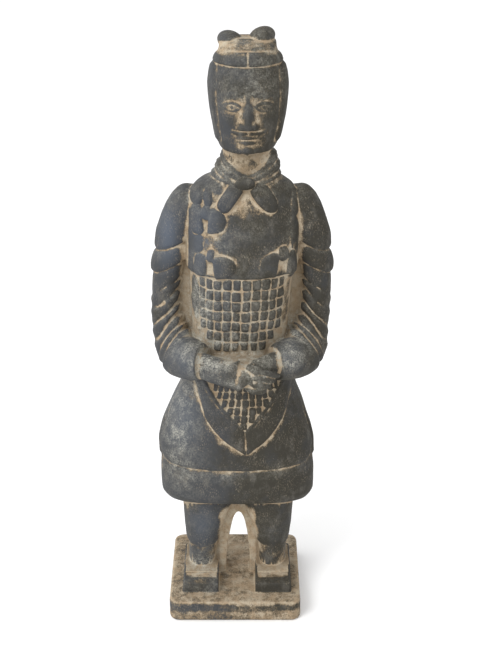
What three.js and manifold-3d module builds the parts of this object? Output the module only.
// A terracotta warrior statue: an armoured officer with folded hands, standing on a square
// plinth. Figure and plinth are pressed in one mould and are one piece of fired clay.
// Millimetres, +Z up, the figure faces -Y, the origin is under the middle of the plinth.
import * as THREE from 'three';
import { mergeVertices } from 'three/addons/utils/BufferGeometryUtils.js';
import Module from 'manifold-3d';

// Driving dimensions
const PLINTH_WIDTH = 91;
const PLINTH_DEPTH = 92;
const PLINTH_HEIGHT = 15;
const PLINTH_CORNER = 7; // radius of the upright corners
const PLINTH_EDGE = 2; // rounding along the upper and lower edges
const FIGURE_HEIGHT = 385;

// The figure is carved in parts of its own height, so its proportions hold at any height.
const PARTS_TALL = 385;
const part = FIGURE_HEIGHT / PARTS_TALL;
const ROOT = 1.5; // how deep a raised detail is rooted below the skin, in parts

const wasm = await Module();
wasm.setup();

// The whole figure leans a little to its left, most at the neck: height and shift.
const LEAN = [
  [0, 1.2], [56, 1.9], [90, 1.4], [115, 0.6], [145, 2], [190, 3.2], [240, 4.8], [290, 6],
  [303, 8], [330, 8.8], [385, 8.4],
];

// Leans a point of the figure and stands it on the plinth.
function stand(point) {
  point.x += reading(LEAN, 1, point.z);
  point.multiplyScalar(part);
  point.z += PLINTH_HEIGHT;
}

// Makes a closed geometry a solid that can be joined and cut, with each point put in place.
function solid(geometry, put = stand) {
  const bare = geometry.clone();
  bare.deleteAttribute('normal');
  bare.deleteAttribute('uv');
  const merged = mergeVertices(bare, 1e-4);
  const place = merged.attributes.position;
  const point = new THREE.Vector3();
  for (let i = 0; i < place.count; i += 1) {
    point.fromBufferAttribute(place, i);
    put(point);
    place.setXYZ(i, point.x, point.y, point.z);
  }
  return new wasm.Manifold(
    new wasm.Mesh({
      numProp: 3,
      vertProperties: new Float32Array(merged.attributes.position.array),
      triVerts: new Uint32Array(merged.index.array),
    }),
  );
}

const join = (pieces) => pieces.reduce((all, piece) => all.add(piece));

// Turns a copy of a geometry into its mirror image across the middle of the body.
function mirrored(geometry) {
  const copy = mergeVertices(geometry.clone());
  copy.scale(-1, 1, 1);
  const faces = copy.index.array;
  for (let i = 0; i < faces.length; i += 3) {
    [faces[i + 1], faces[i + 2]] = [faces[i + 2], faces[i + 1]];
  }
  return copy;
}

// Reads a table of rows that start with a height or length: a smooth curve through the
// values in one column, which never swings past a row.
function reading(rows, column, at) {
  const last = rows.length - 1;
  if (at <= rows[0][0]) return rows[0][column];
  if (at >= rows[last][0]) return rows[last][column];
  let i = 0;
  while (rows[i + 1][0] < at) i += 1;
  const slope = (k) => (rows[k + 1][column] - rows[k][column]) / (rows[k + 1][0] - rows[k][0]);
  const bend = (k) => {
    if (k === 0 || k === last) return slope(Math.min(k, last - 1));
    const [before, after] = [slope(k - 1), slope(k)];
    return before * after <= 0 ? 0 : (2 * before * after) / (before + after);
  };
  const span = rows[i + 1][0] - rows[i][0];
  const t = (at - rows[i][0]) / span;
  const [a, b] = [rows[i][column], rows[i + 1][column]];
  const blend = t * t * (3 - 2 * t);
  return (
    a + (b - a) * blend +
    span * (bend(i) * t * (1 - t) * (1 - t) - bend(i + 1) * t * t * (1 - t))
  );
}

// Rounds an oval off towards a rectangle: a power of 2 is an ellipse.
const squared = (value, power) => Math.sign(value) * Math.abs(value) ** (2 / power);

// A form built up of rings, made from a cylinder. ring(k, angle) gives a point on ring k,
// with the angle from the front towards +X, and middle(k) the centre of an end.
function ringed(around, rings, ring, middle) {
  const shape = new THREE.CylinderGeometry(1, 1, 1, around, rings - 1);
  const place = shape.attributes.position;
  for (let i = 0; i < place.count; i += 1) {
    const k = Math.round((place.getY(i) + 0.5) * (rings - 1));
    const onSkin = Math.hypot(place.getX(i), place.getZ(i)) > 0.5;
    const point = onSkin ? ring(k, Math.atan2(place.getX(i), place.getZ(i))) : middle(k);
    place.setXYZ(i, point.x, point.y, point.z);
  }
  return shape;
}

// An upright form from rows of height, half-width, half-depth, and the centre's x and y.
// lift(height, angle) raises or lowers a place on a ring.
function upright(rows, around, power = 2, lift = () => 0) {
  const centre = (k) => [rows[k][3] ?? 0, rows[k][4] ?? 0];
  return ringed(
    around,
    rows.length,
    (k, angle) => new THREE.Vector3(
      centre(k)[0] + rows[k][1] * squared(Math.sin(angle), power),
      centre(k)[1] - rows[k][2] * squared(Math.cos(angle), power),
      rows[k][0] + lift(rows[k][0], angle),
    ),
    (k) => new THREE.Vector3(...centre(k), rows[k][0]),
  );
}

// A limb along a curve, from rows of length along it, radius across and radius up. Its rings
// slope: the slant moves the sides of each ring along the limb.
function limb(points, rows, around, slant = 0) {
  const curve = new THREE.CatmullRomCurve3(points.map((p) => new THREE.Vector3(...p)));
  const length = rows[rows.length - 1][0];
  const side = new THREE.Vector3(1, 0, 0);
  const frame = (k) => {
    const t = rows[k][0] / length;
    const ahead = curve.getTangentAt(t);
    const out = side.clone().addScaledVector(ahead, -side.dot(ahead)).normalize();
    return { centre: curve.getPointAt(t), ahead, out, up: ahead.clone().cross(out) };
  };
  return ringed(
    around,
    rows.length,
    (k, angle) => {
      const { centre, ahead, out, up } = frame(k);
      return centre
        .addScaledVector(out, rows[k][1] * Math.sin(angle))
        .addScaledVector(up, -(rows[k][2] ?? rows[k][1]) * Math.cos(angle))
        .addScaledVector(ahead, slant * Math.sin(angle));
    },
    (k) => frame(k).centre,
  );
}

// Coat and trunk: height, half-width, half-depth. The coat flares to a rounded hem, a groove
// parts the inner hem from the outer coat, and the breast edge stands over the belly armour.
const BODY = [
  [56, 34, 19], [57.5, 43, 25], [61, 49, 28.6], [68, 52.8, 30.6], [82, 53.4, 31],
  [94, 51.8, 29.8], [96, 53.3, 31.2], [104, 53.3, 31.2], [114, 51.4, 30.4],
  [125, 47.6, 29.2], [136, 43.8, 27.9], [146, 39.8, 26.9], [155, 36.6, 26.1],
  [164, 34.4, 25.8], [176, 32.6, 26.4], [192, 32, 28.2], [212, 33.2, 29.8],
  [231.2, 34.4, 30], [232.8, 36, 31.6], [247, 37, 30.8], [260, 37.2, 29.4], [270, 36.2, 27.4],
  [279, 34.4, 24.8], [285.5, 32, 22.4], [289.5, 27.4, 19.8], [294, 18.4, 16.6], [300, 16, 15.4],
  [313, 15.8, 15.2],
];
const BODY_POWER = 2.3;

// The hem's rounded lower edge rides up at the front.
const hemLift = (z, angle) => 9 * Math.max(0, Math.cos(angle)) * Math.max(0, 1 - (z - 56) / 24);

// The front of the body at a place across and up, and the way it faces there.
function front(x, z) {
  const depth = (across, height) => {
    const share = Math.min(0.995, Math.abs(across) / reading(BODY, 1, height));
    return -reading(BODY, 2, height) * (1 - share ** BODY_POWER) ** (1 / BODY_POWER);
  };
  const step = 0.5;
  const slopeX = (depth(x + step, z) - depth(x - step, z)) / (2 * step);
  const slopeZ = (depth(x, z + step) - depth(x, z - step)) / (2 * step);
  return {
    point: new THREE.Vector3(x, depth(x, z), z),
    facing: new THREE.Vector3(slopeX, -1, slopeZ).normalize(),
  };
}

// A raised patch that follows a skin. path(u, v) gives its place there as [x, z] for u and v
// from -1 to 1, and proud(u, v) how far it stands out.
function laid(across, up, path, proud, skin = front) {
  const patch = new THREE.BoxGeometry(2, 1, 2, across, 1, up);
  const place = patch.attributes.position;
  for (let i = 0; i < place.count; i += 1) {
    const [u, v] = [place.getX(i), place.getZ(i)];
    const { point, facing } = skin(...path(u, v));
    point.addScaledVector(facing, place.getY(i) < 0 ? proud(u, v) : -ROOT);
    place.setXYZ(i, point.x, point.y, point.z);
  }
  return solid(patch);
}

// A pillow-like pad at x, z: its width, height, turn in degrees and how proud it stands. With
// a bulge of 1 or -1 it is round on that side and flat on the other, like a ribbon's tail.
function pad([x, z, width, height, turn, proud, bulge = 0], skin = front) {
  const angle = THREE.MathUtils.degToRad(turn);
  const pillow = new THREE.SphereGeometry(1, 8, 3);
  const place = pillow.attributes.position;
  for (let i = 0; i < place.count; i += 1) {
    const flat = place.getX(i) * bulge < 0 ? 0.55 : 1;
    const share = bulge ? 0.75 * flat * place.getX(i) - 0.17 * bulge : 0.58 * place.getX(i);
    const across = width * share;
    const up = -0.58 * height * place.getZ(i);
    const out = place.getY(i) < 0 ? -ROOT : proud * (0.5 + 0.5 * place.getY(i));
    const { point, facing } = skin(
      x + across * Math.cos(angle) - up * Math.sin(angle),
      z + across * Math.sin(angle) + up * Math.cos(angle),
    );
    point.addScaledVector(facing, out);
    place.setXYZ(i, point.x, point.y, point.z);
  }
  return solid(pillow);
}

// A flat band along a line of [x, z] points, of one width.
function band(points, width, proud, steps, across = 1, skin = front) {
  const line = new THREE.SplineCurve(points.map((p) => new THREE.Vector2(...p)));
  return laid(
    across,
    steps,
    (u, v) => {
      const t = (v + 1) / 2;
      const [at, along] = [line.getPoint(t), line.getTangent(t)];
      return [at.x + (u * width * along.y) / 2, at.y - (u * width * along.x) / 2];
    },
    () => proud,
    skin,
  );
}

// A panel of the armour's small square plates, in columns round the body and rows down it,
// which narrow with the body. Grooves part them, and holds(x, z) picks those in the panel.
function plates({ columns, rows, columnAngle, top, pitch, middle, proud, holds }) {
  const across = (turns, z) =>
    middle + reading(BODY, 1, z) * Math.sin((turns - columns / 2) * columnAngle);
  const held = (column, row) => {
    const z = top - (row + 0.5) * pitch;
    return column >= 0 && row >= 0 && column < columns && row < rows &&
      holds(across(column + 0.5, z), z);
  };
  // Lines of points: one along each groove and two up and one across every plate.
  const lines = (share, count, stops) => {
    const line = Math.round(((share + 1) / 2) * count * stops.length);
    const [plate, stop] = [Math.floor(line / stops.length), line % stops.length];
    return { plate, groove: stop === 0, at: plate + stops[stop] };
  };
  const onColumn = (u) => lines(u, columns, [0, 0.22, 0.78]);
  const onRow = (v) => lines(-v, rows, [0, 0.55]);
  return laid(
    columns * 3,
    rows * 2,
    (u, v) => {
      const z = top - onRow(v).at * pitch;
      return [across(onColumn(u).at, z), z];
    },
    (u, v) => {
      const [column, row] = [onColumn(u), onRow(v)];
      const near = [0, column.groove ? 1 : 0].some((left) => [0, row.groove ? 1 : 0].some((up) =>
        held(column.plate - left, row.plate - up)));
      if (!near) return -0.7;
      return column.groove || row.groove ? 0.2 : proud;
    },
  );
}

// Belly armour down to the folded arms, and below the hands the tip of the apron: plates
// inside a plain border that widens to a point. Its edges are heights and half-widths from
// the apron's middle, which leans.
const DEGREE = Math.PI / 180;
const APRON_OUTER = [
  [106.5, 0], [110, 5], [117.4, 14.5], [125, 21], [132, 25.5], [140, 28.3], [148.4, 30.5], [160, 33],
];
const APRON_INNER = [
  [123.5, 0], [130, 4.8], [137, 10.5], [141.8, 14.6], [148, 18.6], [155, 22.8], [162, 26.5],
];
const apronMiddle = (z) => 4 + 0.07 * Math.max(0, 150 - z);

function armour() {
  const belly = plates({
    columns: 10, rows: 8, columnAngle: 10.6 * DEGREE, top: 230.6, pitch: 7.2, middle: 0.5, proud: 1.5,
    holds: (x, z) => z > 172 + 0.03 * x * x && z > 203 - 1.5 * (28.5 - Math.abs(x)),
  });
  const lower = plates({
    columns: 8, rows: 6, columnAngle: 8 * DEGREE, top: 162, pitch: 6.4, middle: 5, proud: 1.3,
    holds: (x, z) => Math.abs(x - apronMiddle(z)) < reading(APRON_INNER, 1, z) - 0.6,
  });
  const border = [-1, 1].map((way) => laid(
    3,
    9,
    (u, v) => {
      const z = 134.5 + 26 * v;
      const [inner, outer] = [reading(APRON_INNER, 1, z) - 0.3, reading(APRON_OUTER, 1, z) + 0.3];
      return [apronMiddle(z) + way * (inner + ((outer - inner) * (1 + way * u)) / 2), z];
    },
    () => 2,
  ));
  return [belly, lower, ...border];
}

// Ribbon bows on the breast: loops, tails and a knot, each a pad.
function bow({ loops, tails, knot }) {
  return [...loops, ...tails, knot].map((row) => pad(row));
}

const BOWS = [
  {
    loops: [[-29.2, 283, 7.8, 12.5, -4, 2.8], [-22, 282, 5.2, 11, 3, 2.5]],
    tails: [[-28.3, 268.2, 7.8, 18.6, 3, 3.2], [-15.8, 268.4, 10.6, 16.2, -6, 3.5, 1]],
    knot: [-22.3, 273.2, 6.4, 8.8, 0, 4.1],
  },
  {
    loops: [[-27.8, 253, 5.6, 13.5, 0, 1.5]],
    tails: [[-25.7, 239.4, 8.4, 16, -4, 3.3], [-10.8, 239.6, 13.6, 16.6, 8, 3.7, 1]],
    knot: [-19.3, 246.4, 5.4, 8.4, 0, 4],
  },
  {
    loops: [[34.6, 277.4, 6.6, 20, 5, 1.9], [33.2, 259, 4.4, 15, 0, 1.2]],
    tails: [[17.4, 240.4, 11, 17.4, -6, 2.6, -1], [31.4, 238, 6.2, 20, 2, 2.8]],
    knot: [25.7, 246.8, 6.8, 9.8, 0, 3.5],
  },
];

// Arms in padded sleeves: a shoulder piece, a ring below it, slanting folds and a thick cuff,
// as rows of length from the shoulder, radius across and radius deep. A fold is a row that dips
// between two others.
const ARM_LINE = [
  [23, 2, 281.5], [33.5, 2, 274], [41, 2.5, 258], [45.5, 3, 240], [48.5, 3, 218], [48.6, 1, 198],
  [44.5, -6, 182], [37.5, -18, 174.6], [30, -29, 175.5], [24, -36, 177],
];
const SLEEVE = [
  [0, 8.4, 8.4], [7, 11.8, 11.8], [16, 13.2, 13.2], [30, 13.4, 13.8],
  [40, 12.6, 13.6], [43, 10.8, 12], [45.5, 12.2, 13.4], [51, 12.8, 14],
  [56, 12, 13.4], [58, 10, 12], [61, 10.2, 12.8], [69.5, 10, 12.8],
  [71.5, 9, 11.4], [73.5, 10, 12.8], [79, 9.8, 12.8], [81, 8.4, 11.2],
  [83, 9.9, 12.9], [90, 10.2, 13], [92, 8.8, 11.3], [94, 10.5, 13],
  [99, 11.2, 13.3], [101, 9.8, 11.5], [103, 11.8, 13.4], [108, 12.8, 13.6],
  [110, 11.6, 12], [112, 13.2, 13.7], [115.5, 13.2, 13.4], [117.5, 12.4, 12.4],
  [121, 14.6, 14], [134, 14.6, 13.6], [148, 12.6, 12],
];
const SLEEVE_SLANT = 7.5;

// Clay left between the arms and the trunk: height, half-width, half-depth, centre x and y.
const WEB = [[172, 38, 9, 0, 1], [190, 45, 10, 0, 3], [235, 46, 10, 0, 4], [262, 40, 10, 0, 3]];

// The left arm stands a little further out, most of all at its elbow.
function standLeftArm(point) {
  const elbow = Math.exp(-(((point.z - 174) / 12) ** 2));
  point.x += THREE.MathUtils.clamp((point.x - 24) / 12, 0, 1) * (1 + 2.2 * elbow);
  stand(point);
}

function arms() {
  const sleeve = limb(ARM_LINE, SLEEVE, 8, SLEEVE_SLANT);
  return [solid(sleeve, standLeftArm), solid(mirrored(sleeve)), solid(upright(WEB, 8))];
}

// Hands folded before the belly, the right one laid over the left, with clay left between
// them and the belly: height, half-width, half-depth, centre x and y.
const LAP = [[163, 18, 8, 0, -30], [166, 25, 12, 0, -32], [175, 26, 12, 0, -32], [178, 21, 8, 0, -32]];

function hands() {
  const right = limb(
    [[-27, -36, 175.6], [-14, -43, 173.6], [-2, -46.5, 172], [9, -47, 173]],
    [[0, 7.5, 8.8], [14, 7.6, 9.2], [28, 7, 9.9], [38, 5.8, 10]],
    10,
  );
  const left = limb(
    [[31, -32, 176.6], [20, -38, 175.4], [10, -42, 174]],
    [[0, 7, 8.6], [10, 7, 8], [21, 5.6, 6.6]],
    9,
  );
  const fingers = [0, 1, 2, 3].map((i) => limb(
    [
      [5, -51, 180.4 - 4.7 * i],
      [14 - 0.6 * i, -53.6, 177.6 - 4.5 * i],
      [26 - 3 * i, -47.5, 172.2 - 3.5 * i],
    ],
    [[0, 2, 1.8], [5, 2.9, 2.4], [14, 2.8, 2.4], [21, 1.9, 1.8]],
    6,
  ));
  return [right, left, upright(LAP, 10), ...fingers].map((form) => solid(form));
}

// Trouser legs over wound ankles: height, half-width, half-depth, centre x and y.
const LEG = [
  [-1, 9, 10.5, 24.8, -6], [18, 9.2, 11, 24.6, -6],
  [28.5, 9.8, 12, 24.3, -5.5], [29.5, 11.4, 13.4, 24.4, -5], [38, 13.4, 15.4, 23.7, -4],
  [48, 15.6, 17.4, 22.4, -3], [60, 17.6, 19, 21, -2], [64, 17.6, 19, 21, -2],
];
const GAP_HALF_WIDTH = 8.4; // between the legs, at the plinth
const GAP_TOP = 48.5;

function legs() {
  const leg = upright(LEG, 10, 2.3);
  const web = new THREE.BoxGeometry(36, 17, 62);
  web.translate(0, 2, 30);
  const arch = new THREE.Shape();
  arch.absellipse(0.6, -2, GAP_HALF_WIDTH, GAP_TOP + 2, 0, Math.PI, false);
  const tunnel = new THREE.ExtrudeGeometry(arch, { depth: 80, bevelEnabled: false, curveSegments: 8 });
  tunnel.rotateX(Math.PI / 2);
  tunnel.translate(0, 40, 0);
  return join([solid(leg), solid(mirrored(leg)), solid(web)]).subtract(solid(tunnel));
}

// Square-toed shoes with a thick upturned toe.
function shoes() {
  const [width, bevel] = [24.6, 1.6];
  const side = new THREE.Shape();
  side.moveTo(-31.4, -1);
  side.lineTo(13, -1);
  side.lineTo(13, 11);
  side.lineTo(-15, 11.5);
  side.lineTo(-21, 8.4);
  side.lineTo(-31.4, 7);
  const shoe = new THREE.ExtrudeGeometry(side, {
    depth: width - 2 * bevel, bevelThickness: bevel, bevelSize: bevel, bevelSegments: 1,
  });
  shoe.translate(0, 0, -width / 2 + bevel);
  shoe.applyMatrix4(new THREE.Matrix4().makeBasis(
    new THREE.Vector3(0, 1, 0), new THREE.Vector3(0, 0, 1), new THREE.Vector3(1, 0, 0),
  ));
  return [-1, 1].map((which) => solid(shoe.clone().translate(25.2 * which, 0, 0)));
}

// The head on plain drawing-book proportions: height, half-width, front and back depth.
const HEAD = [
  [307, 12, 13, 13], [312, 17.6, 19.2, 15.5], [317, 19.6, 20.2, 17],
  [320, 20.4, 20.5, 18.2], [323, 21, 20.7, 19.4], [326.5, 21.6, 20.9, 20.4],
  [329.5, 22.2, 21, 21.3], [333, 22.8, 21.1, 22.2], [338, 23.5, 21.3, 23.2],
  [342, 23.9, 21.5, 23.8], [346, 24.2, 22, 24.2], [351, 24.4, 22.5, 24.3], [357, 23.8, 22.2, 23.6],
  [362.4, 22.6, 20.8, 22], [368, 18, 16, 17],
];

const bump = (x, z, atX, atZ, wide, tall) =>
  Math.exp(-(((x - atX) / wide) ** 2) - ((z - atZ) / tall) ** 2);

// How far the face stands out of the plain head: nose, eyes, brows, cheeks, lips and chin.
function relief(x, z) {
  const side = Math.abs(x);
  const nose = z > 326 && z < 345 ? Math.exp(-((x / (2.2 + 0.15 * (343 - z))) ** 2)) : 0;
  const noseHeight = reading([[326, 0], [329.5, 6.4], [338, 3.4], [345, 0.6]], 1, z);
  return (
    nose * noseHeight -
    2 * bump(side, z, 9.8, 340.4, 5.6, 3.8) +
    1.7 * bump(side, z, 10, 339.2, 4.6, 2.2) +
    0.9 * bump(side, z, 10, 345.4, 8, 2.4) +
    1 * bump(side, z, 12.5, 331, 6, 6) +
    1.5 * bump(x, z, 0, 319.8, 7, 2.6) +
    1.5 * bump(x, z, 0, 311.5, 7, 3.4)
  );
}

function head() {
  // The rings' points crowd towards the face.
  const crowd = (angle) => angle - 0.62 * Math.sin(angle) * Math.cos(angle / 2) ** 2;
  const skull = ringed(
    22,
    HEAD.length,
    (k, angle) => {
      const [z, wide, fore, back] = HEAD[k];
      const turn = crowd(angle);
      const depth = Math.cos(turn) > 0 ? fore : back;
      const x = wide * squared(Math.sin(turn), 2.2);
      const y = -depth * squared(Math.cos(turn), 2.2);
      return new THREE.Vector3(x, y < -8 ? y - relief(x, z) : y, z);
    },
    (k) => new THREE.Vector3(0, 0, HEAD[k][0]),
  );
  const face = (x, z) => {
    const share = Math.min(0.98, Math.abs(x) / reading(HEAD, 1, z));
    const y = -reading(HEAD, 2, z) * (1 - share ** 2.2) ** (1 / 2.2) - relief(x, z);
    return {
      point: new THREE.Vector3(x, y, z),
      facing: new THREE.Vector3(x / 40, -1, 0).normalize(),
    };
  };
  const moustache = [-1, 1].map((way) =>
    pad([6.4 * way, 323.6, 13, 3.4, -10 * way, 1.6], face));
  // Narrow locks of hair hang down beside the cheeks.
  const locks = [-1, 1].map((way) =>
    band([[20.4, 361], [21.2, 343], [18.6, 321]].map(([x, z]) => [x * way, z]), 3, 0.9, 4, 1, face));
  const tuft = pad([0, 312.4, 5, 6, 0, 1.2], face);
  return [solid(skull), ...moustache, tuft, ...locks];
}

// The cap: a band round the brow with two petals in front, a crown and two folded tails.
function cap() {
  const brow = upright([
    [364.4, 21, 20.4], [365.8, 21.9, 21.8], [369, 20.8, 20.8], [371.4, 18.4, 18],
  ], 16);
  const parting = new THREE.BoxGeometry(1.6, 4, 12).translate(0, -21.4, 369);
  const crown = upright([
    [366, 17.6, 16.6, 0, 0], [370.4, 18.8, 18, 0, 0], [373, 18, 17, 0, 1],
    [376.4, 17.6, 14, 0, 3], [378.6, 14, 9, 0, 4],
  ], 12, 2.4);
  const tail = (x, z, turn) =>
    new THREE.SphereGeometry(1, 8, 5).scale(8.5, 11, 6.2).rotateY(turn).translate(x, 4, z);
  return [
    solid(brow).subtract(solid(parting)),
    ...[crown, tail(-10.6, 376, 0.35), tail(8.8, 378.4, -0.38)].map((form) => solid(form)),
  ];
}

// A scarf wound round the neck in three turns that drop to a knot in front.
function scarf() {
  const turns = [
    [292, 23.4, 23, 4.2, 3.4], [298.8, 21.2, 21.4, 4, 7.6], [305.2, 18.6, 19.2, 3.6, 11.4],
  ];
  const dip = (angle) => Math.max(0, Math.cos(angle)) ** 2.4;
  const wound = turns.map(([z, wide, deep, thick, drop]) => {
    const inset = [3, 0, 0, 3];
    const rise = [-1, -0.35, 0.45, 1];
    return solid(ringed(
      14,
      4,
      (k, angle) => new THREE.Vector3(
        1.2 + (wide - inset[k]) * Math.sin(angle),
        -(deep - inset[k]) * Math.cos(angle),
        z + rise[k] * thick - drop * dip(angle),
      ),
      (k) => new THREE.Vector3(1.2, 0, z + rise[k] * thick - 3),
    ));
  });
  const ball = new THREE.SphereGeometry(1, 7, 5);
  const knot = solid(ball.scale(6.6, 5.4, 4.8).translate(0.6, -22.4, 292.6));
  const ends = [pad([-7.4, 284.4, 9.6, 22, -35, 4.4]), pad([12.2, 284, 11, 25, 41, 4.4])];
  return [...wound, knot, ...ends];
}

function figure() {
  const joined = join([
    solid(upright(BODY, 22, BODY_POWER, hemLift)),
    legs(),
    ...shoes(),
    ...arms(),
    ...hands(),
    ...armour(),
    ...BOWS.flatMap(bow),
    ...scarf(),
    ...head(),
    ...cap(),
  ]);
  // Pockets shut in between the forms are filled: only the outer skin is kept.
  return joined.decompose().sort((a, b) => b.volume() - a.volume())[0];
}

// The plinth: a square slab with rounded corners and softened edges.
function plinth() {
  const x = PLINTH_WIDTH / 2 - PLINTH_EDGE;
  const y = PLINTH_DEPTH / 2 - PLINTH_EDGE;
  const r = PLINTH_CORNER - PLINTH_EDGE;
  const outline = new THREE.Shape();
  outline.absarc(x - r, y - r, r, 0, Math.PI / 2);
  outline.absarc(-x + r, y - r, r, Math.PI / 2, Math.PI);
  outline.absarc(-x + r, -y + r, r, Math.PI, 1.5 * Math.PI);
  outline.absarc(x - r, -y + r, r, 1.5 * Math.PI, 2 * Math.PI);
  const slab = new THREE.ExtrudeGeometry(outline, {
    depth: PLINTH_HEIGHT - 2 * PLINTH_EDGE,
    bevelThickness: PLINTH_EDGE,
    bevelSize: PLINTH_EDGE,
    bevelSegments: 2,
    curveSegments: 3,
  });
  return solid(slab.translate(0, 0, PLINTH_EDGE), () => {});
}

function statue() {
  const { vertProperties, triVerts } = plinth().add(figure()).getMesh();
  const geometry = new THREE.BufferGeometry()
    .setAttribute('position', new THREE.BufferAttribute(vertProperties, 3))
    .setIndex(new THREE.BufferAttribute(triVerts, 1));
  const clay = new THREE.MeshStandardMaterial({ color: 0x4d4e4e, roughness: 0.85, metalness: 0 });
  const mesh = new THREE.Mesh(geometry, clay);
  mesh.name = 'warrior_statue';
  return mesh;
}

const model = new THREE.Group();
model.add(statue());
export default model;
